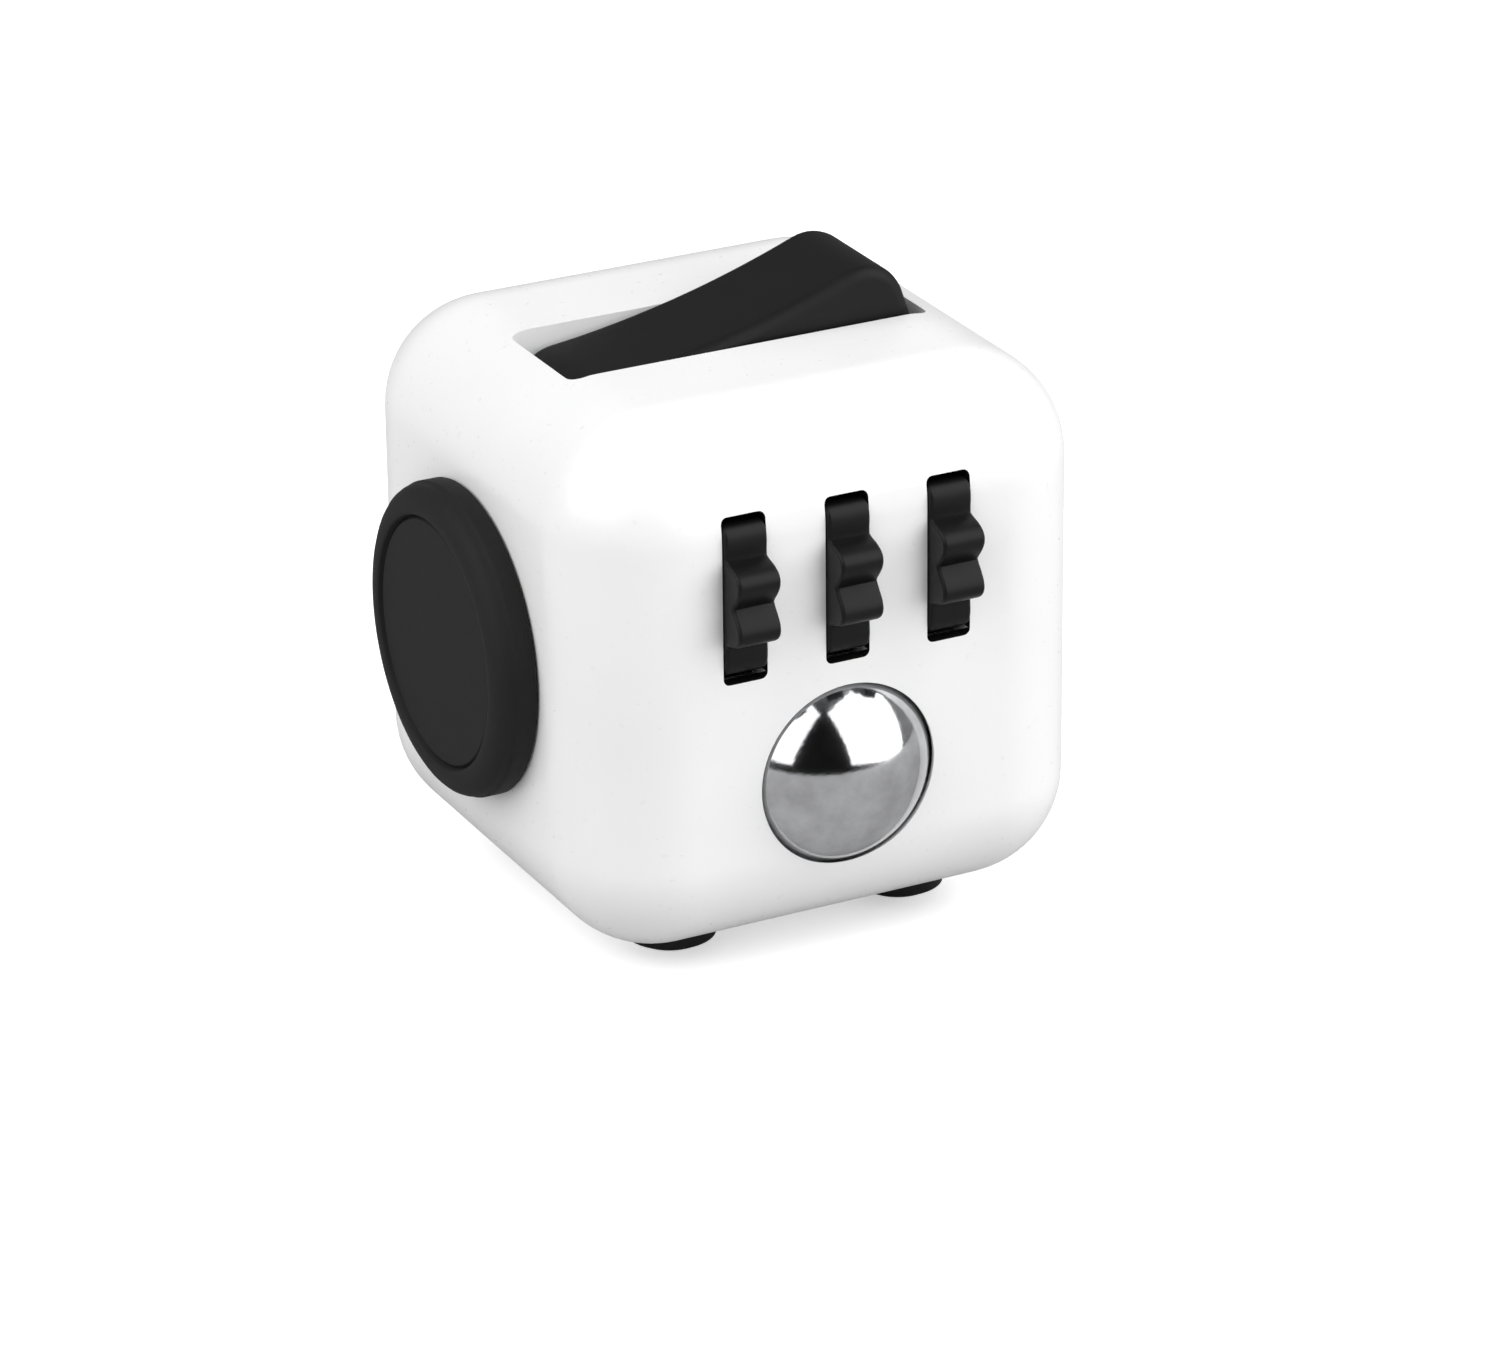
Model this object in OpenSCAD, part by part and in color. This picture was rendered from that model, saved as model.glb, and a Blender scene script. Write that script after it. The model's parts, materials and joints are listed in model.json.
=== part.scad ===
// Fidget cube: a moulded hollow cube with a different hand toy on each face.
//
// Frame: the cube stands on the domes of its click buttons. The origin is at the centre of the
// bounding box's underside. +Z is up, towards the flip rocker. The gears and the ball look along -Y,
// the glide disc along -X, the spin dial along +X and the thumb rest along +Y.

/* [Cube] */
// Outside size of the moulded cube
cube_size = 33; // [32.5:0.1:33.5]
// Radius of the cube's rounded edges
edge_r = 6.6; // [6:0.1:7]
// Radius of the cavity's inner edges
cavity_r = 3; // [2.6:0.1:3.4]
// Wall thickness of the shell
wall = 2; // [1.9:0.05:2.1]
// Sideways offset of the gears and the ball from the cube's middle
front_x = -0.4; // [-0.5:0.1:0]

/* [Flip rocker] */
// Half length of the opening in the top face
flip_open_x = 11.65; // [11.6:0.05:11.8]
// Half width of the opening in the top face
flip_open_y = 4.25; // [4.2:0.05:4.4]
// Tilt of the rocker at rest, right end up
flip_tilt = 14; // [13:0.5:14]
// Radius of the hollow along the rocker's top
flip_hollow_r = 65; // [55:1:80]
// Height of the hollow's lowest point above the rocker's pin
flip_middle_h = 4.92; // [4.8:0.02:5]
// Half length of the rocker at its top corners, before they are rounded
flip_half = 10.95; // [10.8:0.05:11]
// Radius of the rocker's rounded ends
flip_corner_r = 2.7; // [2.4:0.1:3]
// Angle that the rocker's ends lean outwards
flip_lean = 5; // [3:0.5:6]
// Half width of the rocker
flip_half_w = 4; // [3.8:0.05:4]
// Depth of the rocker's pin below the top face
flip_pin_depth = 4.25; // [4:0.05:4.4]

/* [Gears] */
// Distance between the gears along their pin
gear_pitch = 6.55; // [6.5:0.05:6.6]
// Width of the lobed rim of a gear
gear_w = 2.7; // [2.5:0.05:2.7]
// Radius over the gear's lobes
gear_tip_r = 5.5; // [5.3:0.05:5.5]
// Radius at the bottom between two lobes
gear_root_r = 4.45; // [4.2:0.05:4.6]
// Number of lobes
gear_lobes = 10; // [10:1:10]
// Depth of the gears' pin behind the front face
gear_depth = 3.3; // [3.3:0.05:3.5]
// Height of the gears' pin above the cube's centre
gear_z = 6.45; // [6.45:0.05:6.55]
// Width of a gear slot
slot_w = 2.8; // [2.8:0.05:3]
// Length of a gear slot
slot_len = 10.2; // [10:0.05:10.3]

/* [Ball] */
// Radius of the ball
ball_r = 6.4; // [6.3:0.05:6.4]
// Depth of the ball's centre behind the front face
ball_depth = 3.6; // [3.5:0.05:3.7]
// Height of the ball's centre above the cube's centre
ball_z = -5.75; // [-5.9:0.05:-5.75]
// Radius of the ball's hole
ball_hole_r = 5.6; // [5.5:0.05:5.7]
// How far the ball can be pressed in
ball_press = 0.8; // [0.5:0.1:0.8]

/* [Glide disc and spin dial] */
// Radius of the glide disc
disc_r = 9.4; // [9.2:0.1:9.7]
// How far the glide disc stands out of its face
disc_proud = 2.5; // [2.4:0.1:2.7]
// Radius of the thin groove around the disc's middle
groove_r = 7.45; // [7.2:0.05:7.6]
// Travel of the glide disc from its centre, along each of its slides
glide_travel = 1.5; // [1.2:0.1:1.5]
// Radius of the spin dial
dial_r = 7.4; // [7.2:0.1:7.8]
// How far the spin dial stands out of its face
dial_proud = 1.7; // [1.6:0.1:1.9]

/* [Click buttons] */
// Distance of the outer buttons from the middle one, along each axis
button_pitch = 7.6; // [7.5:0.05:7.6]
// Radius of a button
button_r = 2.75; // [2.7:0.05:2.75]
// How far the domes stand out of the underside
button_proud = 2.2; // [2:0.1:2.3]
// Travel of a button
button_travel = 1; // [0.8:0.1:1]

/* [Rear cover] */
// Half width of the cover
cover_half = 12.92; // [12.85:0.01:12.92]
// Radius of the thumb dish
dish_r = 8.5; // [7:0.1:9]
// Depth of the thumb dish
dish_depth = 1.5; // [1:0.1:1.6]

/* [Hidden] */
$fn = 48;

half = cube_size / 2;
cavity = half - wall;
hull_fn = 32;
fit_gap = 0.06;      // radial clearance of a shaft that turns
loose_gap = 0.15;    // gap around a piece that moves in its hole
seat_gap = 0.05;     // gap between two pieces that are fastened together

pin_r = 1;
flip_pin_z = half - flip_pin_depth;
flip_plate_y = 4.6;            // inner face of the flip frame's side plates
flip_plate_t = 1.2;
flip_frame_half = 6.5;
flip_floor_z = 4.6;
flip_foot_h = 0.5;             // height of the rocker's lower corners above its pin
plunger_r = 1.2;
plunger_tip = 6.1;             // distance of the plunger's tip from the rocker's pin

gear_y = -half + gear_depth;
gear_ear_x = gear_pitch + 3.3; // inner face of the gear bracket's ears
gear_ear_t = 0.6;
gear_pin_r = 0.6;
gear_hub_r = gear_depth - wall - loose_gap;
gear_hub_half = gear_ear_x - gear_pitch + front_x - loose_gap;
gear_back_y = gear_y + gear_tip_r + 0.8;
gear_back_t = 0.7;

ball_y = -half + ball_depth;
cup_r = 6.5;
cup_front_y = ball_y + 2.5;
cup_back_y = ball_y + ball_r + 0.9;
housing_r = cup_r + 0.9;
housing_back_y = cup_back_y + 3.4;
housing_low_z = -11.5;

disc_gap = 0.12;               // gap between a disc and its face
dimple_r = 3;                  // ball that cuts the dial's finger dimple
dimple_z = -4.6;
stem_r = 2.2;
carriage_r = 6.4;
base_r = 9.5;
base_back_x = -10.6;
glide_lug_y = 10.9;

shaft_r = 2;
bush_r = 3.2;

flange_r = 3.4;
flange_z = -cavity + 0.1;
flange_t = 0.7;
plate_z = -12.5;
plate_t = 0.8;
dot_places = [[-1, -1], [1, -1], [0, 0], [-1, 1], [1, 1]];

ledge_half = 11.6;
post_c = 10.6;
peg_r = 0.9;

screw_r = 0.45;
screw_head_r = 0.8;
screw_head_t = 0.5;
screw_bite = 1.3;              // length of a screw's shank in what it bites into

// Moves what is built around the cube's centre to where the cube stands.
module placed() {
    translate([(disc_proud - dial_proud) / 2, (-(ball_y - ball_r) - half) / 2, half + button_proud])
        children();
}

// Cylinder from one point along +X, +Y or +Z.
module rod_x(r, x0, x1) { translate([x0, 0, 0]) rotate([0, 90, 0]) cylinder(r = r, h = x1 - x0); }
module rod_y(r, y0, y1) { translate([0, y1, 0]) rotate([90, 0, 0]) cylinder(r = r, h = y1 - y0); }
module rod_z(r, z0, z1) { translate([0, 0, z0]) cylinder(r = r, h = z1 - z0); }

// Box between two corners.
module block(low, high) { translate(low) cube(high - low); }

// Rounded cube whose flats lie exactly at its half size.
module rounded_cube(size, r) {
    c = size - r;
    hull()
        for (x = [-c, c], y = [-c, c], z = [-c, c])
            translate([x, y, z]) sphere(r = r / cos(180 / hull_fn), $fn = hull_fn);
}

// Outline of a rectangle with rounded corners.
function round_rect(hx, hy, r, steps = 4) = [
    for (quarter = [0:3], step = [0:steps])
        let (a = 90 * (quarter + step / steps),
             sx = quarter == 0 || quarter == 3 ? 1 : -1,
             sy = quarter < 2 ? 1 : -1)
        [sx * (hx - r) + r * cos(a), sy * (hy - r) + r * sin(a)]
];

// Coil spring with its axis on Z, between z = 0 and z = length.
module coil(coil_r, wire_r, length, turns, steps = 12) {
    sides = 6;
    rings = turns * steps;
    rise = (length - 2 * wire_r) / rings;
    points = [
        for (i = [0:rings], j = [0:sides - 1])
            let (a = 360 * i / steps, b = 360 * j / sides, rr = coil_r + wire_r * cos(b))
            [rr * cos(a), rr * sin(a), wire_r + rise * i + wire_r * sin(b)]
    ];
    walls = [
        for (i = [0:rings - 1], j = [0:sides - 1])
            let (k = (j + 1) % sides)
            [i * sides + j, (i + 1) * sides + j, (i + 1) * sides + k, i * sides + k]
    ];
    near_end = [for (j = [0:sides - 1]) j];
    far_end = [for (j = [0:sides - 1]) rings * sides + sides - 1 - j];
    polyhedron(points, concat([near_end], walls, [far_end]));
}

// Screw along -Z: its head stands on z = 0 and its shank goes down through what it clamps.
module small_screw(clamped) {
    rod_z(screw_head_r, 0, screw_head_t);
    rod_z(screw_r, -clamped - screw_bite, 0);
}

// ---- Where the carriers are screwed to the shell: point under the head, turn, clamped thickness ----
flip_flange_z = cavity - 0.05 - 1.2;
tab_y = -cavity + 0.05 + 0.9;
arm_x = 6.9;
arm_t = 1.3;
lug_x = -cavity + 0.05 + 1.1;
boss_top_z = plate_z;
screw_spots = concat(
    [for (x = [-1, 1], y = [-1, 1]) [[x * 5.2, y * 6.7, flip_flange_z], [180, 0, 0], 1.2]],
    [for (x = [-1, 1]) [[x * 11.3, tab_y, gear_z], [-90, 0, 0], 0.9]],
    [for (x = [-1, 1]) [[front_x + x * 9.3, tab_y, ball_z], [-90, 0, 0], 0.9]],
    [for (y = [-1, 1]) [[lug_x, y * glide_lug_y, 0], [0, 90, 0], 1.1]],
    [for (p = [[-1, 0], [1, 0], [0, 1]])
        [[p[0] * button_pitch, p[1] * button_pitch, plate_z + plate_t], [0, 0, 0], plate_t]]
);

// The places of all carrier screws, with room for a shank of radius r.
module at_screws() {
    for (s = screw_spots)
        translate(s[0]) rotate(s[1]) {
            $clamped = s[2];
            children();
        }
}

// ---- Shell and cover ----
module shell_openings() {
    // top: flip rocker
    translate([0, 0, cavity - 1]) linear_extrude(wall + 2)
        polygon(round_rect(flip_open_x, flip_open_y, 0.8));
    // front: three gear slots and the ball's hole, whose insides follow the gears and the ball
    for (i = [-1:1])
        translate([front_x + i * gear_pitch, 0, gear_z]) {
            translate([0, -cavity + 1, 0]) rotate([90, 0, 0])
                linear_extrude(wall + 2) polygon(round_rect(slot_w / 2, slot_len / 2, 0.4));
            translate([0, gear_y, 0]) rod_x(gear_tip_r + loose_gap, -slot_w / 2, slot_w / 2);
        }
    translate([front_x, 0, ball_z]) {
        rod_y(ball_hole_r, -half - 1, -cavity + 1);
        translate([0, ball_y, 0]) sphere(r = ball_r + loose_gap);
    }
    // left and right: the stem's room to glide and the dial's bush
    rod_x(4.6, -half - 1, -cavity + 1);
    rod_x(bush_r, cavity - 1, half + 1);
    // underside: five buttons
    for (p = dot_places)
        translate([p[0] * button_pitch, p[1] * button_pitch, 0])
            rod_z(button_r + loose_gap, -half - 1, -cavity + 1);
    // back: the cover's opening
    translate([0, half + 1, 0]) rotate([90, 0, 0])
        linear_extrude(wall + 2) polygon(round_rect(cover_half + 0.08, cover_half + 0.08, 2.5));
}

// Frame inside the back edge that the cover rests on, with a post in each corner.
module cover_ledge() {
    difference() {
        intersection() {
            rounded_cube(cavity + 0.2, cavity_r + 0.2);
            union() {
                difference() {
                    block([-half, cavity - 1.3, -half], [half, cavity - 0.1, half]);
                    block([-ledge_half, 0, -ledge_half], [ledge_half, half, ledge_half]);
                }
                for (x = [-post_c, post_c], z = [-post_c, post_c])
                    translate([x, 0, z]) rod_y(2.2, cavity - 3, cavity - 0.1);
            }
        }
        for (x = [-post_c, post_c], z = [-post_c, post_c])
            translate([x, 0, z]) rod_y(peg_r, cavity - 2.8, cavity);
    }
}

module main_shell() {
    color("white") placed() difference() {
        union() {
            difference() {
                rounded_cube(half, edge_r);
                rounded_cube(cavity, cavity_r);
            }
            cover_ledge();
            // bosses under the button plate
            for (p = [[-1, 0], [1, 0], [0, 1]])
                translate([p[0] * button_pitch, p[1] * button_pitch, 0])
                    rod_z(1.5, -cavity - 0.2, boss_top_z - seat_gap);
        }
        shell_openings();
        at_screws() rod_z(screw_r + 0.01, -$clamped - screw_bite - 0.1, 0);
    }
}

module rear_cover() {
    dish_ball_r = (dish_r * dish_r + dish_depth * dish_depth) / (2 * dish_depth);
    color("white") placed() difference() {
        union() {
            intersection() {
                rounded_cube(half, edge_r);
                translate([0, half + 1, 0]) rotate([90, 0, 0])
                    linear_extrude(wall + 1) polygon(round_rect(cover_half, cover_half, 2.42));
            }
            rod_y(dish_r + 0.6, cavity - 1.2, cavity + 0.5);
            for (x = [-post_c, post_c], z = [-post_c, post_c])
                translate([x, 0, z]) rod_y(peg_r - 0.02, cavity - 2.5, cavity + 0.5);
        }
        translate([0, half - dish_depth + dish_ball_r, 0]) sphere(r = dish_ball_r);
    }
}

// ---- Flip rocker ----
// Points of an arc around c, between two angles.
function arc(c, r, a0, a1, steps = 8) = [
    for (i = [0:steps]) let (a = a0 + (a1 - a0) * i / steps) [c[0] + r * cos(a), c[1] + r * sin(a)]
];

// Centre of the fillet that lies under the hollow and inside the leaning flank.
function corner_centre(hollow_z) =
    let (edge = [flip_half, hollow_z - sqrt(pow(flip_hollow_r, 2) - pow(flip_half, 2))],
         down = [sin(flip_lean), -cos(flip_lean)],
         start = edge - flip_corner_r * [cos(flip_lean), sin(flip_lean)] - [0, hollow_z],
         along = start * down,
         slide = -along + sqrt(along * along - start * start + pow(flip_hollow_r + flip_corner_r, 2)))
    [0, hollow_z] + start + slide * down;

// Outline of the rocker around its pin, before it is tilted.
function rocker_outline() =
    let (hollow_z = flip_middle_h + flip_hollow_r,
         c = corner_centre(hollow_z),
         reach = atan2(c[0], hollow_z - c[1]),
         foot = c[0] + flip_corner_r * cos(flip_lean) + (c[1] - flip_foot_h) * tan(flip_lean),
         under_h = flip_foot_h - 0.2)
    concat(
        [[foot, flip_foot_h]],
        arc(c, flip_corner_r, flip_lean, 90 + reach),
        arc([0, hollow_z], flip_hollow_r, 270 + reach * 0.9, 270 - reach * 0.9, 12),
        arc([-c[0], c[1]], flip_corner_r, 90 - reach, 180 - flip_lean),
        [[-foot, flip_foot_h], [-foot + 1.2, under_h], [foot - 1.2, under_h]]
    );

// Puts what is built around the rocker's pin in its rest position.
module tilted() {
    translate([0, 0, flip_pin_z]) rotate([0, -flip_tilt, 0]) children();
}

module flip_rocker() {
    color([0.08, 0.08, 0.08]) placed() tilted() difference() {
        union() {
            translate([0, flip_half_w, 0]) rotate([90, 0, 0])
                linear_extrude(2 * flip_half_w) polygon(rocker_outline());
            rod_y(2.5, -flip_half_w, flip_half_w);
            rod_z(2.1, -4.2, 0);
        }
        rod_y(pin_r + fit_gap, -half, half);
        rod_z(plunger_r + fit_gap, -5, -1.5);
    }
}

module flip_axle() {
    color("silver") placed() translate([0, 0, flip_pin_z])
        rod_y(pin_r, -flip_plate_y - flip_plate_t, flip_plate_y + flip_plate_t);
}

module flip_frame() {
    plate_out = flip_plate_y + flip_plate_t;
    color([0.15, 0.15, 0.15]) placed() difference() {
        union() {
            for (s = [-1, 1]) {
                y0 = min(s * flip_plate_y, s * plate_out);
                y1 = max(s * flip_plate_y, s * plate_out);
                fy0 = min(s * flip_plate_y, s * (plate_out + 1.9));
                fy1 = max(s * flip_plate_y, s * (plate_out + 1.9));
                block([-flip_frame_half, y0, flip_floor_z], [flip_frame_half, y1, cavity - 0.05]);
                block([-flip_frame_half, fy0, flip_flange_z], [flip_frame_half, fy1, cavity - 0.05]);
            }
            block([-flip_frame_half, -plate_out, flip_floor_z],
                  [flip_frame_half, plate_out, flip_floor_z + 0.9]);
            for (s = [-1, 1])
                translate([s * (flip_frame_half - 0.5), 0, 0])
                    block([-0.5, -plate_out, flip_floor_z], [0.5, plate_out, 9.2]);
            // ridge that the plunger snaps over
            translate([0, flip_plate_y, flip_floor_z + 0.8]) rotate([90, 0, 0])
                linear_extrude(2 * flip_plate_y) polygon([[-2.5, 0], [2.5, 0], [0, 0.5]]);
        }
        translate([0, 0, flip_pin_z]) rod_y(pin_r + 0.02, -half, half);
        at_screws() rod_z(screw_r + 0.05, -3, 1);
    }
}

module flip_plunger() {
    color("silver") placed() tilted() union() {
        rod_z(plunger_r, -plunger_tip + plunger_r, -2.9);
        translate([0, 0, -plunger_tip + plunger_r]) sphere(r = plunger_r);
    }
}

module flip_spring() {
    color("silver") placed() tilted() translate([0, 0, -2.88]) coil(0.85, 0.16, 1.36, 2);
}

// ---- Gears ----
// Rim outline: rounded lobes with a valley on the line to the front.
function gear_outline() = [
    for (i = [0:gear_lobes * 8 - 1])
        let (a = 360 * i / (gear_lobes * 8),
             swell = (1 - cos(gear_lobes * a)) / 2,
             r = gear_root_r + (gear_tip_r - gear_root_r) * pow(swell, 0.7))
        [r * cos(a), r * sin(a)]
];

module gear(index) {
    color([0.06, 0.06, 0.06]) placed()
        translate([front_x + index * gear_pitch, gear_y, gear_z]) difference() {
            union() {
                translate([-gear_w / 2, 0, 0]) rotate([0, 90, 0]) rotate([0, 0, 90])
                    linear_extrude(gear_w) polygon(gear_outline());
                rod_x(gear_hub_r, -gear_hub_half, gear_hub_half);
            }
            rod_x(gear_pin_r + fit_gap, -half, half);
        }
}

module gear_left() { gear(-1); }
module gear_middle() { gear(0); }
module gear_right() { gear(1); }

module gear_axle() {
    color("silver") placed() translate([0, gear_y, gear_z])
        rod_x(gear_pin_r, -gear_ear_x - gear_ear_t, gear_ear_x + gear_ear_t);
}

module gear_bracket() {
    low_z = gear_z - 4.4;
    high_z = gear_z + 4.8;
    color([0.15, 0.15, 0.15]) placed() difference() {
        union() {
            block([-gear_ear_x - gear_ear_t, gear_back_y, low_z],
                  [gear_ear_x + gear_ear_t, gear_back_y + gear_back_t, high_z]);
            for (s = [-1, 1])
                translate([s * (gear_ear_x + gear_ear_t / 2), 0, 0]) {
                    block([-gear_ear_t / 2, -cavity + 0.05, gear_z - 2.6],
                          [gear_ear_t / 2, gear_back_y + 0.2, gear_z + 2.6]);
                    translate([s * 0.8, 0, 0])
                        block([-1, -cavity + 0.05, gear_z - 1.2], [1, tab_y, gear_z + 1.2]);
                }
        }
        translate([0, gear_y, gear_z]) rod_x(gear_pin_r + 0.02, -half, half);
        at_screws() rod_z(screw_r + 0.05, -3, 1);
    }
}

// Comb spring: three fingers whose bumps tick over the lobes.
module click_leaf() {
    bump_r = 0.35;
    leaf_y = gear_back_y - 0.3;
    color("silver") placed() union() {
        block([-9, leaf_y, gear_z + 2.6], [9, gear_back_y - seat_gap / 2, gear_z + 4.4]);
        for (i = [-1:1])
            translate([front_x + i * gear_pitch, 0, 0]) {
                block([-1.1, leaf_y, gear_z - 1], [1.1, gear_back_y - 0.08, gear_z + 2.7]);
                translate([0, gear_y + gear_tip_r + 0.06 + bump_r, gear_z]) rod_x(bump_r, -1, 1);
            }
    }
}

// ---- Ball ----
module at_ball() { placed() translate([front_x, ball_y, ball_z]) children(); }

module ball() {
    color("silver") at_ball() sphere(r = ball_r, $fn = 64);
}

module ball_cup() {
    color([0.15, 0.15, 0.15]) at_ball() difference() {
        union() {
            rod_y(cup_r, cup_front_y - ball_y, cup_back_y - ball_y);
            rod_y(1.5, cup_back_y - ball_y - 0.2, cup_back_y - ball_y + 2.2);
        }
        sphere(r = ball_r + seat_gap);
    }
}

module ball_housing() {
    arm_low = ball_z - 2.4;
    arm_high = ball_z + 2.4;
    color([0.2, 0.2, 0.2]) placed() difference() {
        translate([front_x, 0, 0]) union() {
            intersection() {
                translate([0, 0, ball_z]) rod_y(housing_r, cup_front_y + 2.2, housing_back_y);
                block([-half, -half, housing_low_z], [half, half, half]);
            }
            for (s = [-1, 1]) {
                x0 = min(s * arm_x, s * (arm_x + arm_t));
                x1 = max(s * arm_x, s * (arm_x + arm_t));
                foot0 = min(s * arm_x, s * 10.3);
                foot1 = max(s * arm_x, s * 10.3);
                block([x0, -cavity + 0.05, arm_low], [x1, housing_back_y, arm_high]);
                block([foot0, -cavity + 0.05, ball_z - 1.2], [foot1, tab_y, ball_z + 1.2]);
            }
        }
        translate([front_x, 0, ball_z]) {
            rod_y(cup_r + loose_gap, -half, housing_back_y - 1);
            rod_y(1.5 + loose_gap, -half, half);
        }
        at_screws() rod_z(screw_r + 0.05, -3, 1);
    }
}

// The ball's coil spring sits against the housing's floor.
module ball_spring() {
    length = housing_back_y - 1 - cup_back_y - ball_press - 0.1;
    color("silver") placed() translate([front_x, housing_back_y - 1.02, ball_z]) rotate([90, 0, 0])
        coil(3.4, 0.2, length, 2, 18);
}

// ---- Glide disc ----
module glide_cap() {
    back = -cavity + 1.3;      // where the stem meets the washer
    color([0.08, 0.08, 0.08]) placed() difference() {
        union() {
            translate([-half, 0, 0]) rotate([0, -90, 0]) rotate_extrude($fn = 96)
                polygon([[0, disc_gap], [disc_r, disc_gap], [disc_r, 1.3], [disc_r - 0.08, 1.38],
                         [disc_r - 0.1, disc_proud - 0.8], [disc_r - 0.3, disc_proud - 0.5],
                         [disc_r - 0.8, disc_proud - 0.12], [disc_r - 1.3, disc_proud],
                         [groove_r + 0.1, disc_proud], [groove_r, disc_proud - 0.4],
                         [groove_r - 0.1, disc_proud - 0.2], [0, disc_proud - 0.2]]);
            rod_x(stem_r, -half - disc_gap - 0.2, back);
            rod_x(1.4, back - 0.1, back + 0.6);
        }
        rod_x(screw_r + 0.01, back - 2.6, back + 1);
    }
}

// Slides along Y in the base; the stem slides along Z in its slot.
module glide_carriage() {
    slot = stem_r + fit_gap;
    color([0.5, 0.5, 0.5]) placed() difference() {
        rod_x(carriage_r, -cavity + 0.15, -cavity + 1.2);
        block([-half, -slot, -glide_travel - slot], [0, slot, glide_travel + slot]);
    }
}

module glide_washer() {
    color("silver") placed() difference() {
        rod_x(3.8, -cavity + 1.35, -cavity + 1.85);
        rod_x(1.45, -half, 0);
    }
}

module glide_screw() {
    color("silver") placed() union() {
        rod_x(1.9, -cavity + 1.95, -cavity + 2.5);
        rod_x(screw_r, -cavity - 1, -cavity + 2);
    }
}

module glide_base() {
    front = -cavity + 0.05;
    color([0.2, 0.2, 0.2]) placed() difference() {
        union() {
            rod_x(base_r, front, base_back_x);
            for (s = [-1, 1])
                translate([0, s * (glide_lug_y - 0.4), 0])
                    block([front, -1.4, -1.3], [lug_x, 1.4, 1.3]);
        }
        rod_x(base_r - 0.8, front - 1, base_back_x - 0.8);
        at_screws() rod_z(screw_r + 0.05, -3, 1);
        // room for the screw heads beside the cup
        for (s = [-1, 1])
            translate([0, s * glide_lug_y, 0]) rod_x(screw_head_r + 0.1, lug_x, 0);
    }
}

module glide_spring() {
    color("silver") placed() translate([-cavity + 1.87, 0, 0]) rotate([0, 90, 0])
        coil(3, 0.15, 1.1, 2, 18);
}

// ---- Spin dial ----
module spin_dial() {
    color([0.08, 0.08, 0.08]) placed() difference() {
        union() {
            translate([half, 0, 0]) rotate([0, 90, 0]) rotate_extrude($fn = 96)
                polygon([[0, disc_gap], [dial_r, disc_gap], [dial_r, dial_proud - 0.5],
                         [dial_r - 0.5, dial_proud], [0, dial_proud]]);
            rod_x(shaft_r, cavity - 3.2, half + disc_gap + 0.2);
        }
        // finger dimple
        translate([half + dial_proud + dimple_r - 0.7, 0, dimple_z]) sphere(r = dimple_r);
        // groove for the clip
        difference() {
            rod_x(shaft_r + 1, cavity - 2.4, cavity - 1.8);
            rod_x(shaft_r - 0.5, cavity - 3, cavity);
        }
    }
}

module spin_bush() {
    color("silver") placed() difference() {
        union() {
            rod_x(bush_r - 0.01, cavity - 0.1, half + 0.05);
            rod_x(bush_r + 1.6, cavity - 0.9, cavity - 0.05);
        }
        rod_x(shaft_r + fit_gap, 0, half + 5);
    }
}

module spin_washer() {
    color("silver") placed() difference() {
        rod_x(bush_r + 0.6, cavity - 1.7, cavity - 1.2);
        rod_x(shaft_r + 0.1, 0, half);
    }
}

module spin_clip() {
    color([0.3, 0.3, 0.3]) placed() difference() {
        rod_x(bush_r, cavity - 2.35, cavity - 1.85);
        rod_x(shaft_r - 0.45, 0, half);
        block([0, -1.3, 0], [half, 1.3, half]);
    }
}

// ---- Click buttons ----
module at_dot(i) {
    placed() translate([dot_places[i - 1][0] * button_pitch, dot_places[i - 1][1] * button_pitch, 0])
        children();
}

module click_button(i) {
    cap_h = 0.9;               // height of the domed part
    dome_r = (button_r * button_r + cap_h * cap_h) / (2 * cap_h);
    tip = -half - button_proud;
    color([0.08, 0.08, 0.08]) at_dot(i) union() {
        difference() {
            union() {
                intersection() {
                    rod_z(button_r, tip, flange_z + 0.1);
                    translate([0, 0, tip + dome_r]) sphere(r = dome_r);
                }
                rod_z(button_r, tip + cap_h + 0.6, flange_z + 0.1);
                rod_z(flange_r, flange_z, flange_z + flange_t);
            }
            rod_z(2.05, tip + 1.5, 0);
        }
        rod_z(0.6, tip + 1.4, flange_z + 0.2);
    }
}

module click_spring(i) {
    low = -half - button_proud + 1.52;
    color("silver") at_dot(i) translate([0, 0, low]) coil(1.55, 0.2, plate_z - 0.02 - low, 4, 10);
}

// Shallow metal dome that snaps under three of the buttons.
module click_dome(i) {
    dome_r = 1.1;
    rise = 0.4;
    ball = (dome_r * dome_r + rise * rise) / (2 * rise);
    color("gold") at_dot(i) intersection() {
        rod_z(dome_r, plate_z - rise - 0.02, plate_z - 0.02);
        translate([0, 0, plate_z - 0.02 - rise + ball]) sphere(r = ball);
    }
}

module click_button_1() { click_button(1); }
module click_button_2() { click_button(2); }
module click_button_3() { click_button(3); }
module click_button_4() { click_button(4); }
module click_button_5() { click_button(5); }
module click_spring_1() { click_spring(1); }
module click_spring_2() { click_spring(2); }
module click_spring_3() { click_spring(3); }
module click_spring_4() { click_spring(4); }
module click_spring_5() { click_spring(5); }
module click_dome_1() { click_dome(1); }
module click_dome_2() { click_dome(3); }
module click_dome_3() { click_dome(5); }

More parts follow.
